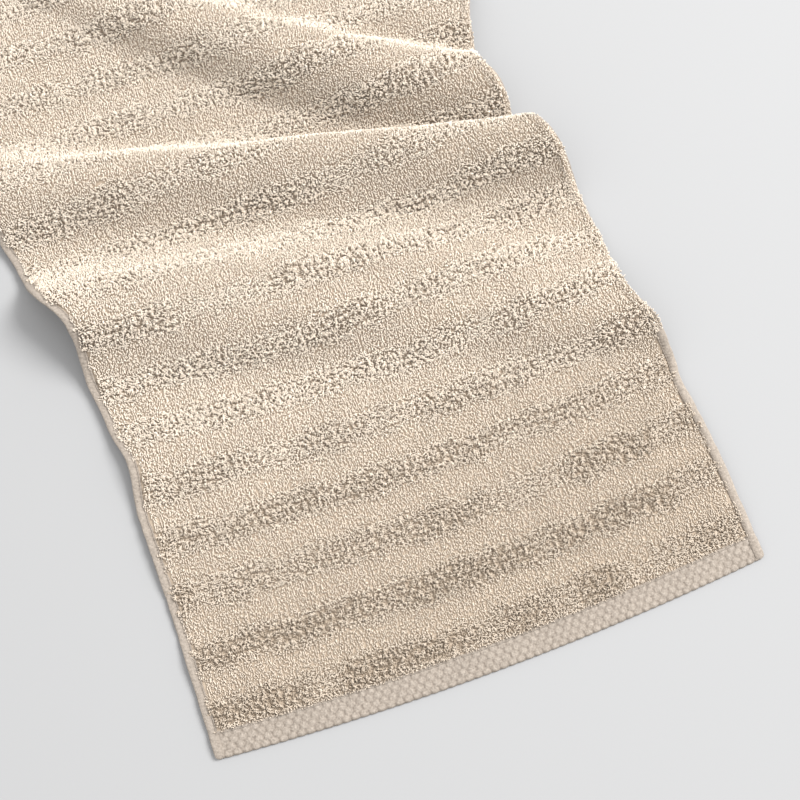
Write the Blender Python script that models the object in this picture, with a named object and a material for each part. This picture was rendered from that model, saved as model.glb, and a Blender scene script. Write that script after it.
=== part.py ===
"""A ribbed terry bath towel lying loosely on a flat surface.

The towel is modelled flat, as it comes off the loom: a ground cloth, raised ribs of long pile,
a woven border at each end, a folded hem down each side and the sewing threads. Every mesh is then
laid over the same gentle folds. Flat coordinates are (across, along, up), in metres: across runs
from the left hem's edge, along runs from the front edge and up is the height over the underside.
"""

import collections

import bmesh
import bpy
import numpy as np

# Driving dimensions
WIDTH = 0.700
LENGTH = 1.400
RIB_COUNT = 19
BORDER_DEPTH = 0.031
HEM_WIDTH = 0.010
GROUND_HEIGHT = 0.004
RIB_HEIGHT = 0.004
BORDER_HEIGHT = 0.0035
HEM_HEIGHT = 0.0055
HEM_MARGIN_HEIGHT = 0.003
THREAD_SIZE = 0.0008
GAP = 0.0003

# The ribs and the plain bands between them share the length inside the borders. The plan
# grid has a row at each rib's edges, so that neighbouring solids bend together.
ROWS_PER_RIB = 3
ROWS_PER_PITCH = 2 * ROWS_PER_RIB
ROW_COUNT = ROWS_PER_PITCH * (RIB_COUNT - 1) + ROWS_PER_RIB
ROW_STEP = (LENGTH - 2 * BORDER_DEPTH) / ROW_COUNT
COLUMN_COUNT = 18

# How the towel lies. Each fold runs across it, and its numbers are for the left edge, the
# middle and the right edge: where its crest is, its height, how far it takes to rise in front,
# how far its top stays level, and how far it takes to fall behind. A height under 0 at an edge
# ends the fold short of it.
Fold = collections.namedtuple("Fold", "crest height front top back")
FOLDS = (
    Fold(
        crest=(0.380, 0.350, 0.330),
        height=(0.010, 0.004, 0.000),
        front=(0.060, 0.060, 0.060),
        top=(0.000, 0.000, 0.000),
        back=(0.060, 0.060, 0.060),
    ),
    Fold(
        crest=(0.570, 0.480, 0.335),
        height=(0.050, 0.037, 0.030),
        front=(0.065, 0.055, 0.050),
        top=(0.030, 0.050, 0.030),
        back=(0.080, 0.130, 0.120),
    ),
    Fold(
        crest=(0.778, 0.692, 0.592),
        height=(0.042, 0.050, 0.062),
        front=(0.060, 0.055, 0.055),
        top=(0.020, 0.020, 0.020),
        back=(0.080, 0.060, 0.055),
    ),
    Fold(
        crest=(1.260, 0.900, 0.712),
        height=(-0.006, 0.044, 0.046),
        front=(0.050, 0.045, 0.050),
        top=(0.030, 0.030, 0.020),
        back=(0.100, 0.100, 0.060),
    ),
    Fold(
        crest=(1.050, 0.935, 0.815),
        height=(0.000, 0.012, 0.026),
        front=(0.045, 0.045, 0.045),
        top=(0.020, 0.020, 0.020),
        back=(0.080, 0.080, 0.080),
    ),
    Fold(
        crest=(1.000, 1.050, 1.020),
        height=(0.000, 0.016, 0.022),
        front=(0.090, 0.090, 0.090),
        top=(0.020, 0.020, 0.020),
        back=(0.080, 0.080, 0.080),
    ),
)
FOLD_BLEND = 3.0
CREST_LEAN = 0.34
BEND_LENGTH = 0.050
FRONT_BOW = 0.016
BOW_ENDS_AT = 1.2

# Sideways drift: between two places along the surface, the left and right edges move over.
Drift = collections.namedtuple("Drift", "start end left right")
DRIFTS = (
    Drift(0.15, 0.52, -0.008, -0.036),
    Drift(0.24, 0.28, 0.000, 0.010),
    Drift(0.30, 0.37, 0.000, -0.014),
    Drift(0.31, 0.37, 0.010, 0.000),
    Drift(0.37, 0.42, -0.010, 0.000),
    Drift(0.37, 0.47, 0.000, 0.015),
    Drift(0.42, 0.57, -0.017, 0.000),
    Drift(0.48, 0.54, 0.012, 0.000),
    Drift(0.53, 0.62, 0.000, -0.022),
    Drift(0.54, 0.60, -0.026, 0.000),
    Drift(0.56, 0.74, -0.052, -0.050),
    Drift(0.60, 0.70, 0.020, 0.000),
    Drift(0.64, 0.69, 0.000, 0.018),
    Drift(0.69, 0.74, 0.000, -0.018),
    Drift(0.70, 0.80, 0.000, 0.020),
    Drift(0.78, 0.92, -0.010, 0.040),
)
LINE_SAMPLES = 1500
NORMAL_STEP = 0.001

# Linear colours and roughness
TERRY = ((0.60, 0.50, 0.40), 0.95)
LONG_PILE = ((0.52, 0.43, 0.34), 1.0)
BORDER = ((0.61, 0.53, 0.45), 0.85)
HEM = ((0.65, 0.56, 0.48), 0.85)
THREAD = ((0.58, 0.50, 0.42), 0.7)


def across_value(values, share):
    """The value at a share of the width, on the parabola through left, middle and right."""
    left, middle, right = values
    return (
        left * (1 - share) * (1 - 2 * share)
        + middle * 4 * share * (1 - share)
        + right * share * (2 * share - 1)
    )


def fold_height(share, place):
    """Height of the underside over the floor, at a share of the width and a place along it."""
    total = 0
    for fold in FOLDS:
        ahead = place - across_value(fold.crest, share)
        front = across_value(fold.front, share)
        reach = np.where(ahead < 0, front, across_value(fold.back, share))
        fall = np.abs(ahead) - across_value(fold.top, share) / 2
        rise = 0.5 + 0.5 * np.cos(np.pi * np.clip(fall / reach, 0, 1))
        height = np.maximum(across_value(fold.height, share), 0)
        total = total + (height * rise) ** FOLD_BLEND
    return total ** (1 / FOLD_BLEND)


def drift(share, place):
    """Sideways shift of the cloth at a place along the floor."""
    total = 0
    for move in DRIFTS:
        part = np.clip((place - move.start) / (move.end - move.start), 0, 1)
        part = part * part * (3 - 2 * part)
        total = total + part * (move.left * (1 - share) + move.right * share)
    return total


def softened(values, step):
    """The values averaged over the cloth's least bend, as thick terry turns no corner tighter."""
    half = round(BEND_LENGTH / step / 2)
    weight = np.hanning(2 * half + 3)[1:-1]
    padded = np.pad(values, half, "reflect", reflect_type="odd")
    return np.convolve(padded, weight / weight.sum(), "valid")


def underside_line(share):
    """The line of cloth at one share of the width: its length so far, and its points."""
    place = np.linspace(-0.02, LENGTH, LINE_SAMPLES)
    height = fold_height(share, place)
    bow = FRONT_BOW * 4 * share * (1 - share) * np.clip(1 - place / BOW_ENDS_AT, 0, 1)
    x = share * WIDTH + drift(share, place)
    y = place + CREST_LEAN * height - bow
    points = np.stack([softened(line, place[1] - place[0]) for line in (x, y, height)], axis=1)
    steps = np.linalg.norm(np.diff(points, axis=0), axis=1)
    length = np.concatenate([[0], np.cumsum(steps)])
    return length - np.interp(0, place, length), points


def underside(across, along):
    """The laid underside at flat coordinates: the cloth keeps its length over every fold."""
    laid = np.empty((len(across), 3))
    for value in np.unique(across):
        chosen = across == value
        length, points = underside_line(value / WIDTH)
        for axis in range(3):
            laid[chosen, axis] = np.interp(along[chosen], length, points[:, axis])
    return laid


def lay_down(flat):
    """Flat coordinates to laid ones: up is measured along the cloth's own normal."""
    across, along, up = np.round(flat.T, 6)
    aside = underside(across + NORMAL_STEP, along) - underside(across - NORMAL_STEP, along)
    ahead = underside(across, along + NORMAL_STEP) - underside(across, along - NORMAL_STEP)
    normal = np.cross(aside, ahead)
    normal /= np.linalg.norm(normal, axis=1, keepdims=True)
    return underside(across, along) + normal * up[:, None]


def row_place(row):
    """Distance along the towel of a grid row, counted from the front border."""
    return BORDER_DEPTH + row * ROW_STEP


def add_laid(name, mesh, finish, collection, origin):
    """Lays a flat bmesh over the folds and adds it to the scene under its own material."""
    bmesh.ops.recalc_face_normals(mesh, faces=mesh.faces)
    if mesh.calc_volume(signed=True) < 0:
        bmesh.ops.reverse_faces(mesh, faces=mesh.faces)
    laid = lay_down(np.array([vertex.co for vertex in mesh.verts], dtype=float))
    for vertex, place in zip(mesh.verts, laid):
        vertex.co = place
    data = bpy.data.meshes.new(name)
    mesh.to_mesh(data)
    mesh.free()
    data.materials.append(material(name, *finish))
    part = bpy.data.objects.new(name, data)
    part.parent = origin
    collection.objects.link(part)
    return part


def material(name, colour, roughness):
    """A plain cotton finish."""
    cotton = bpy.data.materials.new(name + "_cotton")
    cotton.use_nodes = True
    shader = cotton.node_tree.nodes["Principled BSDF"]
    shader.inputs["Base Color"].default_value = (*colour, 1)
    shader.inputs["Roughness"].default_value = roughness
    shader.inputs["Metallic"].default_value = 0
    return cotton


def flat_slab(columns, rows, low, high, soft_edge=0.0):
    """A flat slab between two heights, its top drawn in at the front and back by a soft edge."""
    mesh = bmesh.new()
    bmesh.ops.create_grid(
        mesh, x_segments=len(columns) - 1, y_segments=len(rows) - 1, size=1
    )
    for vertex in mesh.verts:
        column = round((vertex.co.x + 1) / 2 * (len(columns) - 1))
        row = round((vertex.co.y + 1) / 2 * (len(rows) - 1))
        vertex.co = (columns[column], rows[row], low)
    grown = bmesh.ops.extrude_face_region(mesh, geom=list(mesh.faces))
    for item in grown["geom"]:
        if isinstance(item, bmesh.types.BMVert):
            item.co.z = high
            item.co.y = np.clip(item.co.y, rows[0] + soft_edge, rows[-1] - soft_edge)
    return mesh


def swept_strip(section, stations, along_length=True):
    """A closed section of (sideways, up) points, swept through stations down the strip."""
    mesh = bmesh.new()
    corners = [mesh.verts.new((side, stations[0], up)) for side, up in section]
    ring = [mesh.edges.new((corners[i - 1], corners[i])) for i in range(len(corners))]
    for station in stations[1:]:
        grown = bmesh.ops.extrude_edge_only(mesh, edges=ring)["geom"]
        ring = [item for item in grown if isinstance(item, bmesh.types.BMEdge)]
        for item in grown:
            if isinstance(item, bmesh.types.BMVert):
                item.co.y = station
    bmesh.ops.holes_fill(mesh, edges=[edge for edge in mesh.edges if edge.is_boundary])
    if not along_length:
        for vertex in mesh.verts:
            vertex.co = (vertex.co.y, vertex.co.x, vertex.co.z)
    return mesh


def mirrored(section):
    """A section for the left edge, turned over for the right edge."""
    return [(WIDTH - side, up) for side, up in reversed(section)]


def inner_columns():
    """The grid's columns between the two hems."""
    inset = HEM_WIDTH + 2 * GAP
    return np.linspace(inset, WIDTH - inset, COLUMN_COUNT + 1)


def add_ground(place):
    """The ground cloth with its short pile, between the borders and the hems."""
    rows = [row_place(row) for row in range(ROW_COUNT + 1)]
    place("terry_ground", flat_slab(inner_columns(), rows, 0, GROUND_HEIGHT), TERRY)


def add_ribs(place):
    """The bands of long pile, with plain bands as deep between them."""
    low = GROUND_HEIGHT + GAP
    for rib in range(RIB_COUNT):
        rows = [row_place(ROWS_PER_PITCH * rib + row) for row in range(ROWS_PER_RIB + 1)]
        mesh = flat_slab(inner_columns(), rows, low, low + RIB_HEIGHT, RIB_HEIGHT)
        place(f"raised_rib_{rib + 1:02}", mesh, LONG_PILE)


def add_borders(place):
    """The flat woven border at each end."""
    front = [0, BORDER_DEPTH - GAP]
    back = [LENGTH - row for row in reversed(front)]
    for name, rows in (("border_front", front), ("border_back", back)):
        place(name, flat_slab(inner_columns(), rows, 0, BORDER_HEIGHT), BORDER)


def add_hems(place):
    """The side hems: a folded roll outside, and a thin stitched margin inside."""
    section = [
        (0, 0),
        (HEM_WIDTH, 0),
        (HEM_WIDTH, HEM_MARGIN_HEIGHT),
        (0.76 * HEM_WIDTH, HEM_MARGIN_HEIGHT),
        (0.62 * HEM_WIDTH, HEM_HEIGHT),
        (0.12 * HEM_WIDTH, HEM_HEIGHT),
    ]
    stations = [0, *(row_place(row) for row in range(ROW_COUNT + 1)), LENGTH]
    place("hem_left", swept_strip(section, stations), HEM)
    place("hem_right", swept_strip(mirrored(section), stations), HEM)


def thread_section(middle, low):
    """A thread's section, lying on its seam."""
    half = THREAD_SIZE / 2
    return [(middle - half, low), (middle + half, low), (middle, low + THREAD_SIZE)]


def add_threads(place):
    """The sewing thread down each hem's margin and along each border's inner edge."""
    side = thread_section(0.88 * HEM_WIDTH, HEM_MARGIN_HEIGHT + 2 * GAP)
    stations = [row_place(row) for row in range(ROW_COUNT + 1)]
    place("stitch_left", swept_strip(side, stations), THREAD)
    place("stitch_right", swept_strip(mirrored(side), stations), THREAD)
    inset = BORDER_DEPTH - 0.2 * HEM_WIDTH
    for name, middle in (("stitch_front", inset), ("stitch_back", LENGTH - inset)):
        end = thread_section(middle, BORDER_HEIGHT + 2 * GAP)
        place(name, swept_strip(end, inner_columns(), along_length=False), THREAD)


def centre(origin, parts):
    """Moves the parts' origin, so that the middle of their box stands on the world's origin."""
    points = np.array([vertex.co for part in parts for vertex in part.data.vertices])
    low, high = points.min(axis=0), points.max(axis=0)
    origin.location = (-(low[0] + high[0]) / 2, -(low[1] + high[1]) / 2, -low[2])


def main():
    for item in list(bpy.data.objects):
        bpy.data.objects.remove(item)
    collection = bpy.data.collections.new("ribbed_bath_towel")
    bpy.context.scene.collection.children.link(collection)
    origin = bpy.data.objects.new("towel_origin", None)
    collection.objects.link(origin)
    parts = []

    def place(name, mesh, finish):
        parts.append(add_laid(name, mesh, finish, collection, origin))

    add_ground(place)
    add_ribs(place)
    add_borders(place)
    add_hems(place)
    add_threads(place)
    centre(origin, parts)


main()
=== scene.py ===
"""The looks of the ribbed terry bath towel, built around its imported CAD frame.

The towel is described flat, as (across, along, up) in metres: across runs from the left hem's
edge, along runs from the front edge and up is the height over the underside. Every piece is then
laid over the same folds as the CAD solids. All of the pile is real loops of yarn.
"""

import collections

import bpy
import numpy as np
from mathutils import Matrix, Vector


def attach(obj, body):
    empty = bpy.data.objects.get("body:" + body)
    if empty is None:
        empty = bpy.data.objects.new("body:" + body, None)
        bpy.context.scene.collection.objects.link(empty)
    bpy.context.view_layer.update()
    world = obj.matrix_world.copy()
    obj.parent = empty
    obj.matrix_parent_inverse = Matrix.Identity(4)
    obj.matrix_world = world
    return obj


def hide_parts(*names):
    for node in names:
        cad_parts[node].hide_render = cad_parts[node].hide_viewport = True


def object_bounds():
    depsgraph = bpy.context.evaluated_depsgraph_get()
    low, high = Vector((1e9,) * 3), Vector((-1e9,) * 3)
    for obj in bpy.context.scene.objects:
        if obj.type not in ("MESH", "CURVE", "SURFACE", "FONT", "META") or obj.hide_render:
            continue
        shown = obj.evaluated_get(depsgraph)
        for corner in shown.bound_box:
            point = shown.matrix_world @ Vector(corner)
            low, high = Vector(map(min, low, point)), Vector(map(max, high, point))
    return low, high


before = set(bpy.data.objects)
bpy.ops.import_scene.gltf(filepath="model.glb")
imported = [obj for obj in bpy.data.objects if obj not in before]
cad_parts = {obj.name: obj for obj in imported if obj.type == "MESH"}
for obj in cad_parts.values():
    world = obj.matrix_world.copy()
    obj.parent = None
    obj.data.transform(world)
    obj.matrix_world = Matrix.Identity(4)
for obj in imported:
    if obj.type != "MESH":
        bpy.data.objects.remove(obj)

CAD_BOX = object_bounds()

# The towel's sizes, as in part.py
WIDTH = 0.700
LENGTH = 1.400
RIB_COUNT = 19
BORDER_DEPTH = 0.031
HEM_WIDTH = 0.010
RIB_PITCH = (LENGTH - 2 * BORDER_DEPTH) / (RIB_COUNT - 0.5)
RIB_DEPTH = RIB_PITCH / 2

# The hem as it shows: the width of its roll, and from where along the towel the right one is
# curled under, with the pile all over it
HEM_ROLL = 0.0118
HEM_CURLS_FROM = 0.32

# How the towel lies, as in part.py. Each value is for the left edge, the middle and the right.
Fold = collections.namedtuple("Fold", "crest height front top back")
FOLDS = (
    Fold(
        crest=(0.380, 0.350, 0.330),
        height=(0.010, 0.004, 0.000),
        front=(0.060, 0.060, 0.060),
        top=(0.000, 0.000, 0.000),
        back=(0.060, 0.060, 0.060),
    ),
    Fold(
        crest=(0.570, 0.480, 0.335),
        height=(0.050, 0.037, 0.030),
        front=(0.065, 0.055, 0.050),
        top=(0.030, 0.050, 0.030),
        back=(0.080, 0.130, 0.120),
    ),
    Fold(
        crest=(0.778, 0.692, 0.592),
        height=(0.042, 0.050, 0.062),
        front=(0.060, 0.055, 0.055),
        top=(0.020, 0.020, 0.020),
        back=(0.080, 0.060, 0.055),
    ),
    Fold(
        crest=(1.260, 0.900, 0.712),
        height=(-0.006, 0.044, 0.046),
        front=(0.050, 0.045, 0.050),
        top=(0.030, 0.030, 0.020),
        back=(0.100, 0.100, 0.060),
    ),
    Fold(
        crest=(1.050, 0.935, 0.815),
        height=(0.000, 0.012, 0.026),
        front=(0.045, 0.045, 0.045),
        top=(0.020, 0.020, 0.020),
        back=(0.080, 0.080, 0.080),
    ),
    Fold(
        crest=(1.000, 1.050, 1.020),
        height=(0.000, 0.016, 0.022),
        front=(0.090, 0.090, 0.090),
        top=(0.020, 0.020, 0.020),
        back=(0.080, 0.080, 0.080),
    ),
)
FOLD_BLEND = 3.0
CREST_LEAN = 0.34
BEND_LENGTH = 0.050
FRONT_BOW = 0.016
BOW_ENDS_AT = 1.2
Drift = collections.namedtuple("Drift", "start end left right")
DRIFTS = (
    Drift(0.15, 0.52, -0.008, -0.036),
    Drift(0.24, 0.28, 0.000, 0.010),
    Drift(0.30, 0.37, 0.000, -0.014),
    Drift(0.31, 0.37, 0.010, 0.000),
    Drift(0.37, 0.42, -0.010, 0.000),
    Drift(0.37, 0.47, 0.000, 0.015),
    Drift(0.42, 0.57, -0.017, 0.000),
    Drift(0.48, 0.54, 0.012, 0.000),
    Drift(0.53, 0.62, 0.000, -0.022),
    Drift(0.54, 0.60, -0.026, 0.000),
    Drift(0.56, 0.74, -0.052, -0.050),
    Drift(0.60, 0.70, 0.020, 0.000),
    Drift(0.64, 0.69, 0.000, 0.018),
    Drift(0.69, 0.74, 0.000, -0.018),
    Drift(0.70, 0.80, 0.000, 0.020),
    Drift(0.78, 0.92, -0.010, 0.040),
)
LINE_SAMPLES = 1500
LEAD_IN = 0.02

# Small ripples on top of the folds: about how far each reaches across and along, and its height.
Ripple = collections.namedtuple("Ripple", "across along height")
RIPPLES = (Ripple(0.22, 0.050, 0.0050), Ripple(0.07, 0.030, 0.0022))
RIPPLES_START = 0.10

# The drape is worked out once on a grid of the flat towel, and read between its points.
DRAPE_STEP = 0.0025
DRAPE_MARGIN = 0.010
ORIGIN = np.array([CAD_BOX[1].x - WIDTH, CAD_BOX[0].y + FRONT_BOW, CAD_BOX[0].z])

# Yarn loops. Across and along are the steps between loops, low is where they stand, reach is the
# distance between a loop's feet, lean how far its tip strays, rings how many points it bends at,
# and foot the painted shade at its feet: how light they are kept, darker where the pile shades them.
Yarn = collections.namedtuple("Yarn", "across along low height reach radius lean rings foot")
LONG_YARN = Yarn(0.0021, 0.0021, 0.0022, 0.0060, 0.0028, 0.00064, 0.0009, 4, 0.45)
SHORT_YARN = Yarn(0.0026, 0.0025, 0.0018, 0.0036, 0.0027, 0.00066, 0.0008, 4, 0.42)
THREAD = Yarn(0.0032, 0.0032, 0.0036, 0.0010, 0.0030, 0.00035, 0, 6, 0.50)

# The loops gather in tufts. Gather is how strongly their tips are drawn to the middle of their
# tuft, sweep how far whole groups of them lean over, dip how much lower the tuft's rim is, and
# shadow how much darker the rim is.
Tuft = collections.namedtuple("Tuft", "size gather sweep dip shadow")
LONG_TUFT = Tuft(0.0080, 0.38, 0.0024, 0.55, 0.52)
SHORT_TUFT = Tuft(0.0046, 0.26, 0.0011, 0.40, 0.30)
SWEEP_CELL = 0.010

# How far the loops stray from their grid: the long ones either way, the short ones across and along
LONG_STRAY = 0.0006
SHORT_STRAY = (0.00022, 0.0003)

# How much the tufts stand out, and painted shade: the yarn darker toward the front, where less
# light falls, and darker in the ribs; each at the places along the towel that stand before it
CRISP_ALONG, CRISP_TUFTS = (0.15, 0.40), (1.00, 0.40)
FALLOFF_ALONG, PAINTED_FALLOFF = (0.05, 0.20, 0.40), (0.68, 0.76, 0.95)
RIB_SHADE_ALONG, PAINTED_RIB_SHADE = (0.0, 0.4, 1.0), (0.42, 0.08, 0.06)

# The ribs' edges wander by two layers of noise, each with its size and its cell, spill over their
# band and fade out. Thin spots lie between, and long pile is where the richness is over its limit.
WANDERS = ((0.010, 0.022), (0.008, 0.009))
RIB_SPILL = 0.006
RIB_FADE = 0.014
THIN_SPOT_CELL = 0.050
LONG_FROM = 0.25

# At the side edges the pile starts at its inset and stands lower, and its outermost loops lie
# over the hem's inner part, where they climb, with gaps here and there.
PILE_INSET = 0.0015
EDGE_FALL = 0.015
LOWEST_AT_EDGE = 0.45
PILE_OVER_HEM = 0.0035
CLIMB = 0.0018
GAP_CELL = 0.009
GAP_WIDTH = 0.0015
GAPS_FROM = 0.55

NOISE_MARGIN = 8
SEED = 11


def across_value(values, share):
    """The value at a share of the width, on the parabola through left, middle and right."""
    left, middle, right = values
    return (
        left * (1 - share) * (1 - 2 * share)
        + middle * 4 * share * (1 - share)
        + right * share * (2 * share - 1)
    )


def fold_height(share, place):
    """Height of the underside over the floor, at a share of the width and a place along it."""
    total = 0
    for fold in FOLDS:
        ahead = place - across_value(fold.crest, share)
        front = across_value(fold.front, share)
        reach = np.where(ahead < 0, front, across_value(fold.back, share))
        fall = np.abs(ahead) - across_value(fold.top, share) / 2
        rise = 0.5 + 0.5 * np.cos(np.pi * np.clip(fall / reach, 0, 1))
        height = np.maximum(across_value(fold.height, share), 0)
        total = total + (height * rise) ** FOLD_BLEND
    return total ** (1 / FOLD_BLEND)


def drift(share, place):
    """Sideways shift of the cloth at a place along the floor."""
    total = 0
    for move in DRIFTS:
        part = np.clip((place - move.start) / (move.end - move.start), 0, 1)
        part = part * part * (3 - 2 * part)
        total = total + part * (move.left * (1 - share) + move.right * share)
    return total


def softened(values, step):
    """The values averaged over the cloth's least bend, as thick terry turns no corner tighter."""
    half = round(BEND_LENGTH / step / 2)
    weight = np.hanning(2 * half + 3)[1:-1]
    padded = np.pad(values, half, "reflect", reflect_type="odd")
    return np.convolve(padded, weight / weight.sum(), "valid")


def underside_line(share):
    """The line of cloth at one share of the width: its length so far, and its points."""
    place = np.linspace(-LEAD_IN, LENGTH, LINE_SAMPLES)
    height = fold_height(share, place)
    bow = FRONT_BOW * 4 * share * (1 - share) * np.clip(1 - place / BOW_ENDS_AT, 0, 1)
    x = share * WIDTH + drift(share, place)
    y = place + CREST_LEAN * height - bow
    points = np.stack([softened(line, place[1] - place[0]) for line in (x, y, height)], axis=1)
    steps = np.linalg.norm(np.diff(points, axis=0), axis=1)
    length = np.concatenate([[0], np.cumsum(steps)])
    return length - np.interp(0, place, length), points


def unit(vectors):
    return vectors / np.linalg.norm(vectors, axis=-1, keepdims=True)


def lattice_size(cell):
    """How many cells cover the flat towel, with some to spare on every side."""
    return int(WIDTH / cell) + 2 * NOISE_MARGIN, int(LENGTH / cell) + 2 * NOISE_MARGIN


def lattice_noise(across, along, cell, seed):
    """Smooth noise from 0 to 1 that changes over about one cell of the flat towel."""
    u, v = across / cell + NOISE_MARGIN, along / cell + NOISE_MARGIN
    i, j = np.floor(u).astype(int), np.floor(v).astype(int)
    s, t = u - i, v - j
    s, t = s * s * (3 - 2 * s), t * t * (3 - 2 * t)
    values = np.random.default_rng(seed).random(lattice_size(cell))
    low = values[i, j] * (1 - s) + values[i + 1, j] * s
    high = values[i, j + 1] * (1 - s) + values[i + 1, j + 1] * s
    return low * (1 - t) + high * t


def ripple_height(across, along):
    """How far the small ripples lift the cloth off its folds."""
    total = 0
    for number, ripple in enumerate(RIPPLES):
        narrowed = across * ripple.along / ripple.across
        total = total + ripple.height * lattice_noise(narrowed, along, ripple.along, SEED + 20 + number)
    return total * np.clip(along / RIPPLES_START, 0, 1)


def directions(points):
    """Across, along and up, at each point of a laid grid."""
    aside = unit(np.gradient(points, axis=0))
    up = unit(np.cross(aside, np.gradient(points, axis=1)))
    return aside, unit(np.cross(up, aside)), up


def make_drape():
    """Grid of the laid underside: its point, and its directions across, along and up."""
    columns = np.arange(0, WIDTH + DRAPE_STEP / 2, DRAPE_STEP)
    rows = np.arange(-DRAPE_MARGIN, LENGTH + DRAPE_MARGIN, DRAPE_STEP)
    points = np.empty((len(columns), len(rows), 3))
    for column, across in enumerate(columns):
        length, line = underside_line(across / WIDTH)
        for axis in range(3):
            points[column, :, axis] = np.interp(rows, length, line[:, axis])
    lift = ripple_height(*np.meshgrid(columns, rows, indexing="ij"))
    points = points + directions(points)[2] * lift[..., None]
    return np.concatenate([points, *directions(points)], axis=2)


DRAPE = make_drape()


def drape_at(across, along):
    """Point and the three directions of the underside at flat coordinates."""
    column = np.clip(across / DRAPE_STEP, 0, DRAPE.shape[0] - 1.001)
    row = np.clip((along + DRAPE_MARGIN) / DRAPE_STEP, 0, DRAPE.shape[1] - 1.001)
    i, j = column.astype(int), row.astype(int)
    u, v = (column - i)[:, None], (row - j)[:, None]
    low = DRAPE[i, j] * (1 - u) + DRAPE[i + 1, j] * u
    high = DRAPE[i, j + 1] * (1 - u) + DRAPE[i + 1, j + 1] * u
    found = low * (1 - v) + high * v
    return found[:, 0:3], found[:, 3:6], found[:, 6:9], found[:, 9:12]


def lay_down(flat):
    """Flat coordinates to places in the frame: up is measured along the cloth's own normal."""
    point, _, _, up = drape_at(flat[:, 0], flat[:, 1])
    return ORIGIN + point + up * flat[:, 2:3]


def mesh_piece(name, points, faces, finish, shade=None):
    """A mesh object in the frame, made of points and a list of faces, with a shade at each point."""
    mesh = bpy.data.meshes.new(name)
    mesh.from_pydata(points, [], faces)
    mesh.update()
    mesh.shade_smooth()
    mesh.materials.append(finish)
    if shade is not None:
        mesh.attributes.new("shade", "FLOAT", "POINT").data.foreach_set("value", shade.ravel())
    piece = bpy.data.objects.new(name, mesh)
    bpy.context.scene.collection.objects.link(piece)
    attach(piece, "root")
    return piece


# Materials

def node_material(name, sheen):
    """A cotton material: its nodes, its shader and a way to link them."""
    cotton = bpy.data.materials.new(name)
    cotton.use_nodes = True
    nodes, links = cotton.node_tree.nodes, cotton.node_tree.links
    shader = nodes["Principled BSDF"]
    shader.inputs["Roughness"].default_value = 0.95
    shader.inputs["Specular IOR Level"].default_value = 0.2
    shader.inputs["Sheen Weight"].default_value = sheen
    shader.inputs["Sheen Roughness"].default_value = 0.6
    coordinates = nodes.new("ShaderNodeTexCoord").outputs["Object"]
    return cotton, nodes, links, shader, coordinates


def noise_node(nodes, links, coordinates, scale, detail=2.0):
    """Noise from 0 to 1 with so many waves to the metre."""
    noise = nodes.new("ShaderNodeTexNoise")
    noise.inputs["Scale"].default_value = scale
    noise.inputs["Detail"].default_value = detail
    links.new(coordinates, noise.inputs["Vector"])
    return noise.outputs["Fac"]


def ramp_node(nodes, links, factor, low, high, dark, light):
    """A colour ramp from dark at low to light at high."""
    ramp = nodes.new("ShaderNodeValToRGB")
    ramp.color_ramp.elements[0].position = low
    ramp.color_ramp.elements[0].color = (*dark, 1)
    ramp.color_ramp.elements[1].position = high
    ramp.color_ramp.elements[1].color = (*light, 1)
    links.new(factor, ramp.inputs["Fac"])
    return ramp.outputs["Color"]


def multiplied(nodes, links, first, second):
    """One colour made darker by another."""
    mix = nodes.new("ShaderNodeMix")
    mix.data_type = "RGBA"
    mix.blend_type = "MULTIPLY"
    mix.inputs["Factor"].default_value = 1.0
    links.new(first, mix.inputs["A"])
    links.new(second, mix.inputs["B"])
    return mix.outputs["Result"]


def bump_node(nodes, links, shader, height, distance):
    """Small bumps on a shader, from a height between 0 and 1 and the depth that it stands for."""
    bump = nodes.new("ShaderNodeBump")
    bump.inputs["Distance"].default_value = distance
    links.new(height, bump.inputs["Height"])
    links.new(bump.outputs["Normal"], shader.inputs["Normal"])


def yarn_material(name, dark, light, sheen, grain=0.06, weave=2600, depth=0.0002):
    """Cotton from dark to light by each point's shade, with fine grain and slow changes over the towel.

    weave and depth are the scale and the depth of its bumps."""
    cotton, nodes, links, shader, coordinates = node_material(name, sheen)
    shade = nodes.new("ShaderNodeAttribute")
    shade.attribute_name = "shade"
    by_shade = ramp_node(nodes, links, shade.outputs["Fac"], 0, 1, dark, light)
    fine, slow = 1 - grain, 0.95
    grains = noise_node(nodes, links, coordinates, weave / 2, 1)
    by_grain = ramp_node(nodes, links, grains, 0.35, 0.65, (fine, fine, fine), (1, 1, 1))
    patches = noise_node(nodes, links, coordinates, 22, 3)
    by_patch = ramp_node(nodes, links, patches, 0.3, 0.7, (slow, slow, slow), (1, 1, 1))
    colour = multiplied(nodes, links, by_shade, by_grain)
    colour = multiplied(nodes, links, colour, by_patch)
    links.new(colour, shader.inputs["Base Color"])
    bump_node(nodes, links, shader, noise_node(nodes, links, coordinates, weave), depth)
    return cotton


# The cloth

CLOTH_HEIGHT = 0.0024
CLOTH_INSET = 0.0025
CLOTH_COLUMNS, CLOTH_ROWS = 111, 221


def flat_grid(columns, rows, low, high):
    """A closed slab over a grid of the flat towel; low and high give its heights there."""
    across, along = np.meshgrid(columns, rows, indexing="ij")
    across, along = across.ravel(), along.ravel()
    count = len(across)
    index = np.arange(count).reshape(len(columns), len(rows))
    top = np.stack([index[:-1, :-1], index[1:, :-1], index[1:, 1:], index[:-1, 1:]], -1)
    edge = np.concatenate([index[:, 0], index[-1, 1:], index[-2::-1, -1], index[0, -2:0:-1]])
    after = np.roll(edge, -1)
    side = np.stack([after, edge, edge + count, after + count], -1)
    faces = np.concatenate([top.reshape(-1, 4), top.reshape(-1, 4)[:, ::-1] + count, side])
    upper = np.stack([across, along, high(across, along)], axis=1)
    lower = np.stack([across, along, low(across, along)], axis=1)
    return np.concatenate([upper, lower]), faces


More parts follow.
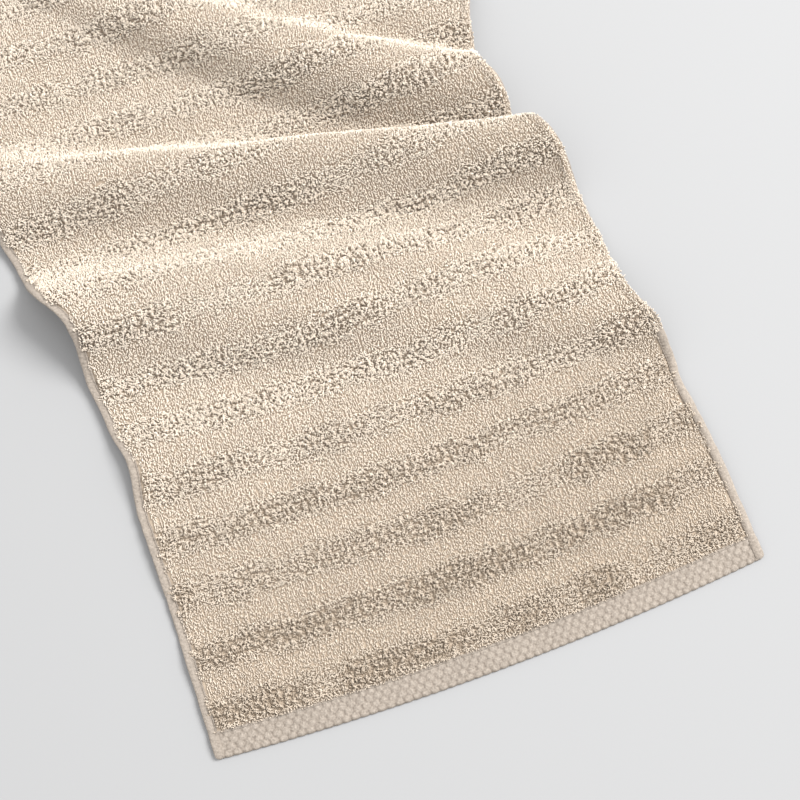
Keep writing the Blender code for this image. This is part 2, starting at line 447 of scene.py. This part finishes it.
def make_cloth(finish):
    """The woven ground cloth that all the loops stand on, from edge to edge."""
    columns = np.linspace(CLOTH_INSET, WIDTH - CLOTH_INSET, CLOTH_COLUMNS)
    rows = np.linspace(CLOTH_INSET, LENGTH - CLOTH_INSET, CLOTH_ROWS)
    flat, faces = flat_grid(
        columns, rows, lambda across, along: 0 * across, lambda across, along: CLOTH_HEIGHT + 0 * across
    )
    return mesh_piece("terry_cloth", lay_down(flat), faces, finish)


# The pile

def rib_place(rib):
    """Middle of a rib along the towel."""
    return BORDER_DEPTH + RIB_DEPTH / 2 + rib * RIB_PITCH


def richness(across, along):
    """1 in the long pile of the ribs, 0 in the short pile between, with uneven edges and thin spots."""
    wander = 0
    for number, (size, cell) in enumerate(WANDERS):
        wander = wander + size * (lattice_noise(across, along, cell, SEED + 1 + number) - 0.5)
    nearest = np.clip(np.round((along - rib_place(0)) / RIB_PITCH), 0, RIB_COUNT - 1)
    aside = np.abs(along - rib_place(nearest)) + wander
    full = np.clip((RIB_DEPTH / 2 + RIB_SPILL - aside) / RIB_FADE, 0, 1)
    return full * np.clip(0.25 + 1.3 * lattice_noise(across, along, THIN_SPOT_CELL, SEED + 6), 0, 1)


def painted_pile_shade(along, rich):
    """Painted shade on the yarn: darker toward the front, where less light falls, more in its ribs."""
    plain = np.interp(along, FALLOFF_ALONG, PAINTED_FALLOFF)
    return plain * (1 - rich * np.interp(along, RIB_SHADE_ALONG, PAINTED_RIB_SHADE))


def tuft_pull(across, along, size):
    """From a place on the flat towel to the middle of its tuft, in shares of the tuft's size."""
    u, v = across / size + NOISE_MARGIN, along / size + NOISE_MARGIN
    i, j = np.floor(u).astype(int), np.floor(v).astype(int)
    rng = np.random.default_rng(SEED + 3)
    middle = 0.1 + 0.8 * rng.random((*lattice_size(size), 2))
    best = np.full(len(u), np.inf)
    pull = np.zeros((len(u), 2))
    for di in (-1, 0, 1):
        for dj in (-1, 0, 1):
            offset = middle[i + di, j + dj] + np.stack([i + di - u, j + dj - v], axis=1)
            distance = np.linalg.norm(offset, axis=1)
            nearer = distance < best
            best[nearer] = distance[nearer]
            pull[nearer] = offset[nearer]
    return pull


def loop_feet(yarn, start, end):
    """Places for the loops between two lines across the towel, each column set half a step on.

    The outermost columns stray over the hems' inner edges, and leave gaps in places. Where the
    right hem is curled under, the pile is all over it."""
    span = WIDTH - 2 * PILE_INSET
    count = int(span / yarn.across)
    columns = PILE_INSET + (np.arange(count) + 0.5) * span / count
    rows = np.arange(start, end, yarn.along)
    across, along = np.meshgrid(columns, rows, indexing="ij")
    along = along + yarn.along / 2 * (np.arange(count) % 2)[:, None]
    across, along = across.ravel(), along.ravel()
    from_edge = np.minimum(across, WIDTH - across)
    gap = lattice_noise(0 * across, along, GAP_CELL, SEED + 7) > GAPS_FROM
    bare = (from_edge < HEM_ROLL - PILE_OVER_HEM) | ((from_edge < HEM_ROLL + GAP_WIDTH) & gap)
    curled = (across > WIDTH / 2) & (along > HEM_CURLS_FROM)
    inside = (along > BORDER_DEPTH) & (along < LENGTH - BORDER_DEPTH) & (curled | ~bare)
    return across[inside], along[inside]


def climb(across):
    """How much higher the loops stand where the pile crosses over a hem's inner edge."""
    from_edge = np.minimum(across, WIDTH - across)
    return CLIMB * np.clip((HEM_ROLL - from_edge) / PILE_OVER_HEM + 0.5, 0, 1)


def edge_fall(across):
    """How tall the pile is, as a share: it gets lower over its last stretch to each side edge."""
    from_edge = np.minimum(across, WIDTH - across)
    return np.interp(from_edge, (0, EDGE_FALL), (LOWEST_AT_EDGE, 1))


def loop_mesh(across, along, turn, reach, height, tip, yarn, tone):
    """Tubes of yarn, one arched loop on each place: points in the frame, faces and shades.

    turn is the direction between a loop's feet, tip where its top leans to on the flat, and
    tone how light it is, with painted shade in it."""
    count = len(across)
    u = np.linspace(0, 1, yarn.rings)
    rise = np.sin(np.pi * u) ** 0.75
    spread = np.cos(np.pi * u) * reach[:, None] / 2
    centre = np.empty((count, yarn.rings, 3))
    centre[..., 0] = np.cos(turn)[:, None] * spread + tip[:, 0:1] * rise**1.3
    centre[..., 1] = np.sin(turn)[:, None] * spread + tip[:, 1:2] * rise**1.3
    centre[..., 2] = (yarn.low + climb(across))[:, None] + height[:, None] * rise
    tangent = unit(np.gradient(centre, axis=1))
    flat_side = np.stack([np.sin(turn), -np.cos(turn), 0 * turn], axis=1)[:, None, :]
    outward = unit(np.cross(tangent, flat_side))
    side = np.cross(outward, tangent)
    corners = []
    for angle in np.radians([90, 210, 330]):
        corners.append(centre + yarn.radius * (np.cos(angle) * side + np.sin(angle) * outward))
    local = np.stack(corners, axis=2)
    point, aside, ahead, up = drape_at(across, along)
    axes = np.stack([aside, ahead, up], axis=1)
    placed = np.einsum("nrsk,nkx->nrsx", local, axes) + (ORIGIN + point)[:, None, None, :]
    # Painted shade: each loop is painted darker toward its feet, where the pile shades them.
    shade = tone[:, None] * (yarn.foot + (1 - yarn.foot) * rise)
    return placed.reshape(-1, 3), tube_faces(count, yarn.rings), np.repeat(shade.ravel(), 3)


def tube_faces(count, rings):
    """Faces of three-sided tubes, their two ends closed by a triangle."""
    index = np.arange(count * rings * 3).reshape(count, rings, 3)
    after = np.roll(index, -1, axis=2)
    walls = np.stack([index[:, :-1], after[:, :-1], after[:, 1:], index[:, 1:]], -1)
    first = index[:, 0, ::-1].reshape(-1, 3)
    last = index[:, -1].reshape(-1, 3)
    return [*walls.reshape(-1, 4).tolist(), *first.tolist(), *last.tolist()]


def tufted_loops(rng, across, along, yarn, tuft, height, strength, turn, rich):
    """Loops that sweep over together and gather in tufts, as far as their strength, from 0 to 1."""
    pull = tuft_pull(across, along, tuft.size)
    rim = strength * np.clip(2 * np.linalg.norm(pull, axis=1), 0, 1) ** 3
    rim = rim * np.interp(along, CRISP_ALONG, CRISP_TUFTS)
    heading = 4 * np.pi * lattice_noise(across, along, SWEEP_CELL, SEED + 4)
    sweep = tuft.sweep * np.stack([np.cos(heading), np.sin(heading)], axis=1)
    tip = (tuft.gather * tuft.size * pull + sweep) * strength[:, None]
    tip = tip + rng.normal(0, yarn.lean, (len(across), 2))
    height = height * edge_fall(across) * (1 - tuft.dip * rim) * rng.uniform(0.85, 1.15, len(across))
    reach = yarn.reach * rng.uniform(0.75, 1.25, len(across))
    # Painted shade: the pile's painted falloff and rib shade, with the tufts' rims painted darker as shadow
    # between them.
    tone = painted_pile_shade(along, rich) * (1 - tuft.shadow * rim) * rng.uniform(0.87, 1.03, len(across))
    return loop_mesh(across, along, turn, reach, height, tip, yarn, tone)


def long_loops(rib, finish):
    """One rib of long pile."""
    rng = np.random.default_rng(SEED + 100 + rib)
    middle = rib_place(rib)
    reach = RIB_DEPTH / 2 + RIB_SPILL
    across, along = loop_feet(LONG_YARN, middle - reach, middle + reach)
    across = across + rng.normal(0, LONG_STRAY, len(across))
    along = along + rng.normal(0, LONG_STRAY, len(along))
    rich = richness(across, along)
    kept = rich > LONG_FROM
    across, along, rich = across[kept], along[kept], rich[kept]
    height = LONG_YARN.height * (0.40 + 0.60 * rich)
    turn = rng.uniform(0, np.pi, len(across))
    points, faces, shade = tufted_loops(rng, across, along, LONG_YARN, LONG_TUFT, height, rich, turn, rich)
    piece = mesh_piece(f"long_pile_{rib + 1:02}", points, faces, finish, shade)
    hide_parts(f"raised_rib_{rib + 1:02}")
    return piece


def short_loops(band, finish):
    """One plain band of short pile, in columns down the towel; the end ones reach the borders."""
    rng = np.random.default_rng(SEED + 200 + band)
    start = rib_place(band) if band else BORDER_DEPTH
    end = rib_place(band + 1) if band < RIB_COUNT - 2 else LENGTH - BORDER_DEPTH
    across, along = loop_feet(SHORT_YARN, start, end)
    across = across + rng.normal(0, SHORT_STRAY[0], len(across))
    along = along + rng.normal(0, SHORT_STRAY[1], len(along))
    rich = richness(across, along)
    kept = rich <= LONG_FROM
    across, along, rich = across[kept], along[kept], rich[kept]
    height = SHORT_YARN.height * (1 + rich)
    turn = np.pi / 2 + rng.normal(0, 0.50, len(across))
    full = np.ones(len(across))
    points, faces, shade = tufted_loops(rng, across, along, SHORT_YARN, SHORT_TUFT, height, full, turn, rich)
    piece = mesh_piece(f"short_pile_{band + 1:02}", points, faces, finish, shade)
    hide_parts("terry_ground")
    return piece


# Borders, hems and threads

# The border: the grid of its face, how far it reaches under its neighbours, its height at the lip
# and how much it rises behind it, its bumps, its weave, and the scallops along its edge
BORDER_COLUMNS, BORDER_ROWS = 760, 36
BORDER_OVERLAP = 0.001
BORDER_LIP = 0.0010
BORDER_RISE = 0.0014
EDGE_ROUND = 0.003
BUMP_PITCH = 0.0109
BUMP_ROWS = 4
BUMP_RADIUS = 0.0056
BUMP_HEIGHT = 0.0010
BORDER_ROUGHNESS = 0.0009
WEAVE_CELL = 0.0017
SCALLOP = 0.0013
SCALLOP_REACH = 0.006
FIRST_BUMPS = 0.0035

# The hem: its rings and sides, its height, the stretch where it closes at each end, how it swells,
# how uneven and how puckered it is, and how far the right one sinks where it is curled under
HEM_STEP = 0.001
HEM_SIDES = 20
HEM_GIRTH = 0.004
HEM_TOP = 0.0052
HEM_END = 0.005
HEM_SWELL = 0.16
SWELL_CELL = 0.011
HEM_UNEVEN = 0.22
UNEVEN_CELL = 0.0018
PUCKER_PITCH = 0.0048
PUCKER_DEPTH = 0.45
PUCKER_CELL = 0.017
CURL_SINKS = 0.60
CURL_STARTS_OVER = 0.03

# Where the threads run: from the side edges and from the end edges
SEAM_AT = 0.92 * HEM_ROLL
BORDER_SEAM_AT = BORDER_DEPTH - 0.2 * HEM_WIDTH


def bump_height(across, along):
    """Round bumps in offset rows: 1 on top of each and 0 in the pits between them."""
    row_depth = BORDER_DEPTH / BUMP_ROWS
    nearest = np.full(across.shape, np.inf)
    for row in range(-1, BUMP_ROWS + 1):
        middle = (row + 0.5) * row_depth
        shift = 0.5 * (row % 2)
        aside = ((across / BUMP_PITCH + shift) % 1 - 0.5) * BUMP_PITCH
        nearest = np.minimum(nearest, aside**2 + (along - middle) ** 2)
    return np.sqrt(np.clip(1 - nearest / BUMP_RADIUS**2, 0, 1))


def make_border(name, node, front, finish):
    """A woven border, with its edge rounded over and its face full of small bumps."""
    inner = HEM_WIDTH - BORDER_OVERLAP
    columns = np.linspace(inner, WIDTH - inner, BORDER_COLUMNS)
    rows = np.linspace(0, BORDER_DEPTH + BORDER_OVERLAP, BORDER_ROWS)

    def high(across, along):
        rounded = np.clip(along / EDGE_ROUND, 0, 1)
        rounded = np.sqrt(np.clip(1 - (1 - rounded) ** 2, 0, 1))
        bumps = BUMP_HEIGHT * bump_height(across, along)
        rough = BORDER_ROUGHNESS * lattice_noise(across, along, WEAVE_CELL, SEED + 10)
        return BORDER_LIP + rounded * (BORDER_RISE + bumps + rough)

    flat, faces = flat_grid(columns, rows, lambda across, along: 0 * across, high)
    edge = np.clip(1 - flat[:, 1] / SCALLOP_REACH, 0, 1)
    pit = 1 - bump_height(flat[:, 0], FIRST_BUMPS + 0 * flat[:, 1])
    # Painted shade: darker in the pits between bumps, darkest as painted shadow in the pits along the front
    # edge; the weave noise is the border's own grain.
    shade = bump_height(flat[:, 0], flat[:, 1]) * (1 - 0.8 * edge * pit)
    shade = shade * (0.6 + 0.6 * lattice_noise(flat[:, 0], flat[:, 1], WEAVE_CELL, SEED + 10))
    flat[:, 1] += SCALLOP * edge * pit
    if not front:
        flat[:, 1] = LENGTH - flat[:, 1]
        faces = faces[:, ::-1]
    piece = mesh_piece(name, lay_down(flat), faces, finish, shade)
    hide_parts(node)
    return piece


def make_hem(name, node, left, finish):
    """A side hem: the cloth's edge folded over into a soft flat roll, puckered by its stitches.

    The right one is pressed flatter where it is curled under."""
    stations = np.arange(0, LENGTH + HEM_STEP / 2, HEM_STEP)
    angle = np.linspace(0, 2 * np.pi, HEM_SIDES, endpoint=False)
    fat = 1 + HEM_SWELL * (lattice_noise(stations * 0, stations, SWELL_CELL, SEED + 5) - 0.5)
    from_end = np.minimum(stations, LENGTH - stations)
    fat = fat * np.sqrt(1 - np.clip(1 - from_end / HEM_END, 0, 1) ** 2 + 0.01)
    pucker = 0.5 + 0.5 * np.cos(2 * np.pi * stations / PUCKER_PITCH)
    pucker = pucker * lattice_noise(stations * 0, stations, PUCKER_CELL, SEED + 8)
    inside = np.clip(np.cos(angle), 0, 1)
    top = HEM_TOP * (1 - PUCKER_DEPTH * pucker[:, None] * inside)
    if not left:
        curled = np.clip((stations - HEM_CURLS_FROM) / CURL_STARTS_OVER, 0, 1)
        top = top * (1 - CURL_SINKS * curled)[:, None]
    flat = np.empty((len(stations), len(angle), 3))
    around, down = np.broadcast_arrays(HEM_GIRTH * angle, stations[:, None])
    uneven = 1 + HEM_UNEVEN * (lattice_noise(around, down, UNEVEN_CELL, SEED + 9) - 0.5)
    squashed = 0.5 + 0.5 * np.sign(np.sin(angle)) * np.abs(np.sin(angle)) ** 0.7
    flat[..., 0] = HEM_ROLL / 2 * (1 + fat[:, None] * np.cos(angle))
    flat[..., 1] = stations[:, None]
    flat[..., 2] = top * fat[:, None] * uneven * squashed
    # Painted shade: the roll's inner side and its stitch dents are darker, as shadow falls there; the
    # unevenness is its own mottled weave.
    shade = (1 - 0.35 * inside) * (1 - 0.65 * pucker[:, None] * inside) * (1.6 * uneven - 0.76)
    if not left:
        flat[..., 0] = WIDTH - flat[..., 0]
    index = np.arange(flat.shape[0] * flat.shape[1]).reshape(flat.shape[:2])
    after = np.roll(index, -1, axis=1)
    walls = np.stack([index[:-1], index[1:], after[1:], after[:-1]], -1).reshape(-1, 4)
    faces = [*walls.tolist(), index[0].tolist(), index[-1][::-1].tolist()]
    if not left:
        faces = [face[::-1] for face in faces]
    piece = mesh_piece(name, lay_down(flat.reshape(-1, 3)), faces, finish, shade)
    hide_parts(node)
    return piece


def make_stitches(name, node, across, along, turn, finish):
    """A row of stitches: short arched threads, one after another."""
    full = np.ones(len(across))
    still = np.zeros((len(across), 2))
    points, faces, shade = loop_mesh(
        across, along, turn * full, THREAD.reach * full, THREAD.height * full, still, THREAD, full
    )
    piece = mesh_piece(name, points, faces, finish, shade)
    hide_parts(node)
    return piece


def make_all_stitches(finish):
    """The four sewing threads."""
    along = np.arange(BORDER_DEPTH, LENGTH - BORDER_DEPTH, THREAD.along)
    across = np.arange(HEM_WIDTH, WIDTH - HEM_WIDTH, THREAD.across)
    left, right = SEAM_AT + 0 * along, WIDTH - SEAM_AT + 0 * along
    front, back = BORDER_SEAM_AT + 0 * across, LENGTH - BORDER_SEAM_AT + 0 * across
    down, over = np.pi / 2, 0.0
    return [
        make_stitches("seam_left", "stitch_left", left, along, down, finish),
        make_stitches("seam_right", "stitch_right", right, along, down, finish),
        make_stitches("seam_front", "stitch_front", across, front, over, finish),
        make_stitches("seam_back", "stitch_back", across, back, over, finish),
    ]


# Floor, lights and camera

FLOOR_SIZE = 12
FLOOR_GAP = 0.0003
FLOOR_GREY = (0.305, 0.305, 0.307)
ROOM_STRENGTH = 1.34
KEY_PLACE, KEY_TARGET = (5.6, 1.6, 5.6), (0.35, 0.5, 0)
KEY_SIZE = 3.8
KEY_POWER = 1040
CAMERA_PLACE, CAMERA_TARGET = (0.1773, -0.1369, 1.5670), (0.3512, 0.3416, 0)
CAMERA_LENS, CAMERA_SENSOR = 58.5, 36


def make_floor():
    """The wide plain floor that the towel lies on."""
    bpy.ops.mesh.primitive_plane_add(size=FLOOR_SIZE, location=(0, 0, CAD_BOX[0].z - FLOOR_GAP))
    floor = bpy.context.object
    floor.name = "floor"
    finish = bpy.data.materials.new("pale_floor")
    finish.use_nodes = True
    shader = finish.node_tree.nodes["Principled BSDF"]
    shader.inputs["Base Color"].default_value = (*FLOOR_GREY, 1)
    shader.inputs["Roughness"].default_value = 0.9
    shader.inputs["Specular IOR Level"].default_value = 0.1
    floor.data.materials.append(finish)


def make_key_light():
    """One big soft light over the right-hand side."""
    lamp = bpy.data.lights.new("key", "AREA")
    lamp.size = KEY_SIZE
    lamp.energy = KEY_POWER
    light = bpy.data.objects.new("key", lamp)
    light.location = Vector(ORIGIN) + Vector(KEY_PLACE)
    ahead = Vector(KEY_TARGET) - Vector(KEY_PLACE)
    light.rotation_euler = ahead.to_track_quat("-Z", "Y").to_euler()
    bpy.context.scene.collection.objects.link(light)


def make_world():
    """An even white room all around."""
    world = bpy.data.worlds.new("soft_room")
    world.use_nodes = True
    background = world.node_tree.nodes["Background"]
    background.inputs["Color"].default_value = (1, 1, 1, 1)
    background.inputs["Strength"].default_value = ROOM_STRENGTH
    bpy.context.scene.world = world


def make_camera():
    """A camera over the front end, its heading turned off the towel's length."""
    place = Vector(ORIGIN) + Vector(CAMERA_PLACE)
    target = Vector(ORIGIN) + Vector(CAMERA_TARGET)
    lens = bpy.data.cameras.new("camera")
    lens.sensor_width = CAMERA_SENSOR
    lens.lens = CAMERA_LENS
    camera = bpy.data.objects.new("camera", lens)
    bpy.context.scene.collection.objects.link(camera)
    ahead = (target - place).normalized()
    right = ahead.cross(Vector((0, 0, 1))).normalized()
    turned = Matrix((right, right.cross(ahead), -ahead)).transposed().to_4x4()
    camera.matrix_world = Matrix.Translation(place) @ turned
    bpy.context.scene.camera = camera


pile_dark, pile_light = (0.37, 0.29, 0.21), (0.90, 0.805, 0.69)
long_cotton = yarn_material("long_pile_cotton", pile_dark, pile_light, 0.05)
short_cotton = yarn_material("short_pile_cotton", pile_dark, pile_light, 0.05)
# The cloth has no shade of its own and takes the dark colour: painted shade, as it lies deep under the
# loops.
ground_cotton = yarn_material("ground_cotton", (0.40, 0.325, 0.25), pile_light, 0.05)
tape_dark, tape_light = (0.185, 0.152, 0.124), (0.35, 0.303, 0.257)
border_cotton = yarn_material("border_cotton", tape_dark, tape_light, 0.02, 0.22, 900, 0.0006)
hem_cotton = yarn_material("hem_cotton", tape_dark, tape_light, 0.02, 0.22, 900, 0.0006)
thread_cotton = yarn_material("thread_cotton", (0.20, 0.165, 0.13), (0.38, 0.33, 0.28), 0.1)

cloth = make_cloth(ground_cotton)
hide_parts("terry_ground")
on_cloth = [long_loops(rib, long_cotton) for rib in range(RIB_COUNT)]
on_cloth += [short_loops(band, short_cotton) for band in range(RIB_COUNT - 1)]
on_cloth.append(make_border("dobby_border_front", "border_front", True, border_cotton))
on_cloth.append(make_border("dobby_border_back", "border_back", False, border_cotton))
on_cloth.append(make_hem("rolled_hem_left", "hem_left", True, hem_cotton))
on_cloth.append(make_hem("rolled_hem_right", "hem_right", False, hem_cotton))
on_cloth += make_all_stitches(thread_cotton)

make_floor()
make_world()
make_key_light()
make_camera()
bpy.context.scene.view_settings.view_transform = "Standard"
